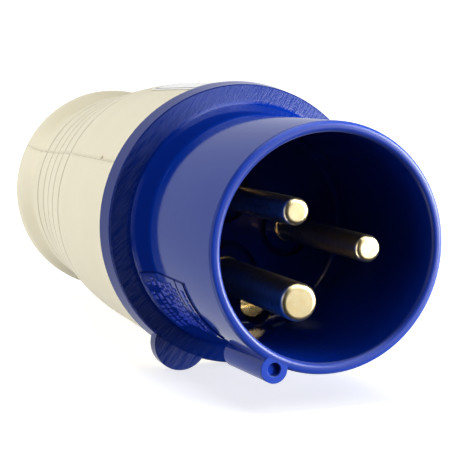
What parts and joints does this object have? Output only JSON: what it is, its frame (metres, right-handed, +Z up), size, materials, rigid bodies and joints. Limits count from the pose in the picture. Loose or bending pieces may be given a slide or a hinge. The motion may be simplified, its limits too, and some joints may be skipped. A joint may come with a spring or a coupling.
{
  "type": "industrial pin and sleeve plug",
  "caption": "Industrial pin and sleeve plug with brass pins inside a keyed round shroud, a flange with a lobe, a grooved grip and a rear cable gland.",
  "frame": {"origin": "centre of the shroud's rim, on the plug's axis", "axes": "-Y out of the shroud towards the mating sleeve, +Y back to the cable entry, +Z up as the plug lies on its flange and lobe; the key points down and 26.8 degrees towards -X"},
  "size_m": [0.0582, 0.1439, 0.0582],
  "materials": {
    "blue_plastic": "moulded, glossy, with fine scratches on the flange",
    "cream_plastic": "moulded, satin",
    "carrier_plastic": "moulded, matt",
    "brass": "turned and polished",
    "zinc_steel": "zinc plated",
    "yellow_steel": "yellow passivated zinc plating",
    "black_rubber": "moulded rubber",
    "white_washer": "moulded, plain",
    "label_film": "blank film"
  },
  "bodies": {
    "plug": {"front_housing": "blue_plastic", "rear_housing": "cream_plastic", "pin_carrier": "carrier_plastic", "line_pin": "brass", "neutral_pin": "brass", "earth_pin": "brass", "pin_retainer": "carrier_plastic", "retainer_screw": "zinc_steel", "lower_housing_screw": "yellow_steel", "upper_housing_screw": "yellow_steel", "housing_seal": "black_rubber", "cable_seal": "black_rubber", "blank_label": "label_film"},
    "washer": {"thrust_washer": "white_washer"},
    "nut": {"gland_nut": "cream_plastic"},
    "clamp": {"cord_clamp": "carrier_plastic", "left_clamp_screw": "zinc_steel", "right_clamp_screw": "zinc_steel"},
    "line_screw": {"line_terminal_screw": "zinc_steel"},
    "neutral_screw": {"neutral_terminal_screw": "zinc_steel"},
    "earth_screw": {"earth_terminal_screw": "zinc_steel"}
  },
  "joints": [
    {"name": "gland_nut_travel", "type": "slide", "parent": "plug", "child": "washer", "axis": [0, 1, 0], "range_m": [0, 0.00601]},
    {"name": "gland_nut_turn", "type": "hinge", "parent": "washer", "child": "nut", "pos_m": [0, 0.134, 0], "axis": [0, 1, 0], "range_deg": [0, 1080]},
    {"name": "cord_clamp_travel", "type": "slide", "parent": "plug", "child": "clamp", "axis": [0.4504, 0, 0.8928], "range_m": [-0.0015, 0.003]},
    {"name": "line_screw_travel", "type": "slide", "parent": "plug", "child": "line_screw", "axis": [0.8928, 0, -0.4504], "range_m": [-0.0011, 0.002]},
    {"name": "neutral_screw_travel", "type": "slide", "parent": "plug", "child": "neutral_screw", "axis": [-0.8928, 0, 0.4504], "range_m": [-0.0011, 0.002]},
    {"name": "earth_screw_travel", "type": "slide", "parent": "plug", "child": "earth_screw", "axis": [-0.4504, 0, -0.8928], "range_m": [-0.0011, 0.002]}
  ],
  "couplings": [
    {"joint": "gland_nut_travel", "follows": "gland_nut_turn", "m_per_rad": 0.00031831}
  ]
}
